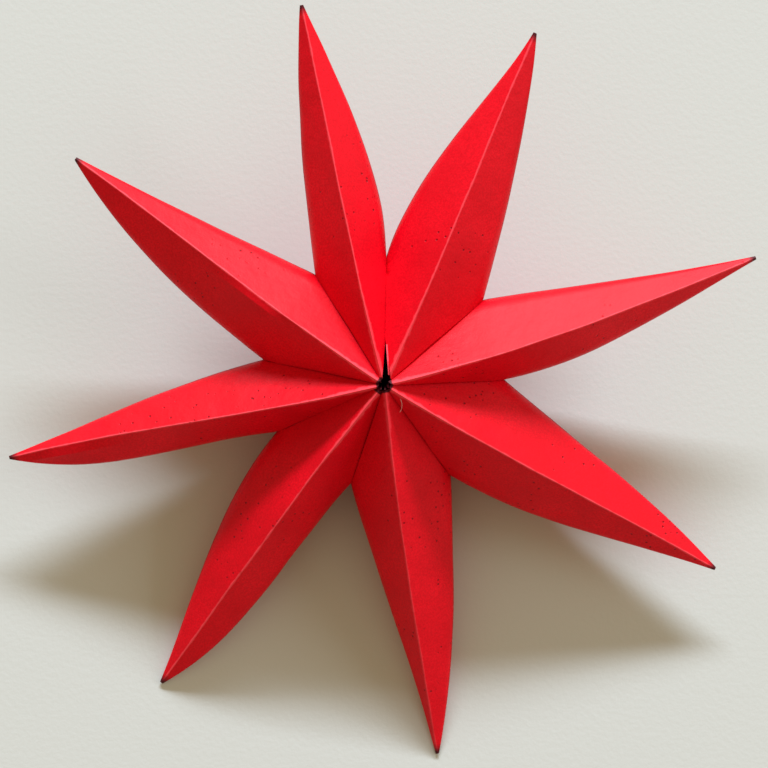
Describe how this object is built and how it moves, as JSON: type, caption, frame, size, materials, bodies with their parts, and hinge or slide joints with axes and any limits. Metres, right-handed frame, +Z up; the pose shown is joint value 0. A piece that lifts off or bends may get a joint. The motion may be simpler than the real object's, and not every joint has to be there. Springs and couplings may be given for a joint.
{
  "type": "three-dimensional paper star",
  "caption": "Hollow folded-card star whose lance-shaped points, each with a sharp fold in front and behind, are glued flank to flank round a small open hub.",
  "frame": {"origin": "centre of the bounding box, on the surface that the star lies on", "axes": "+Z up from that surface, +Y towards the star's raised edge, +X to the right as seen from the front"},
  "size_m": [0.1536, 0.1512, 0.0333],
  "materials": {
    "red_card": "matte, slightly mottled"
  },
  "bodies": {
    "root": {"folded_point_1": "red_card", "folded_point_2": "red_card", "folded_point_3": "red_card", "folded_point_4": "red_card", "folded_point_5": "red_card", "folded_point_6": "red_card", "folded_point_7": "red_card", "folded_point_8": "red_card"}
  },
  "joints": []
}
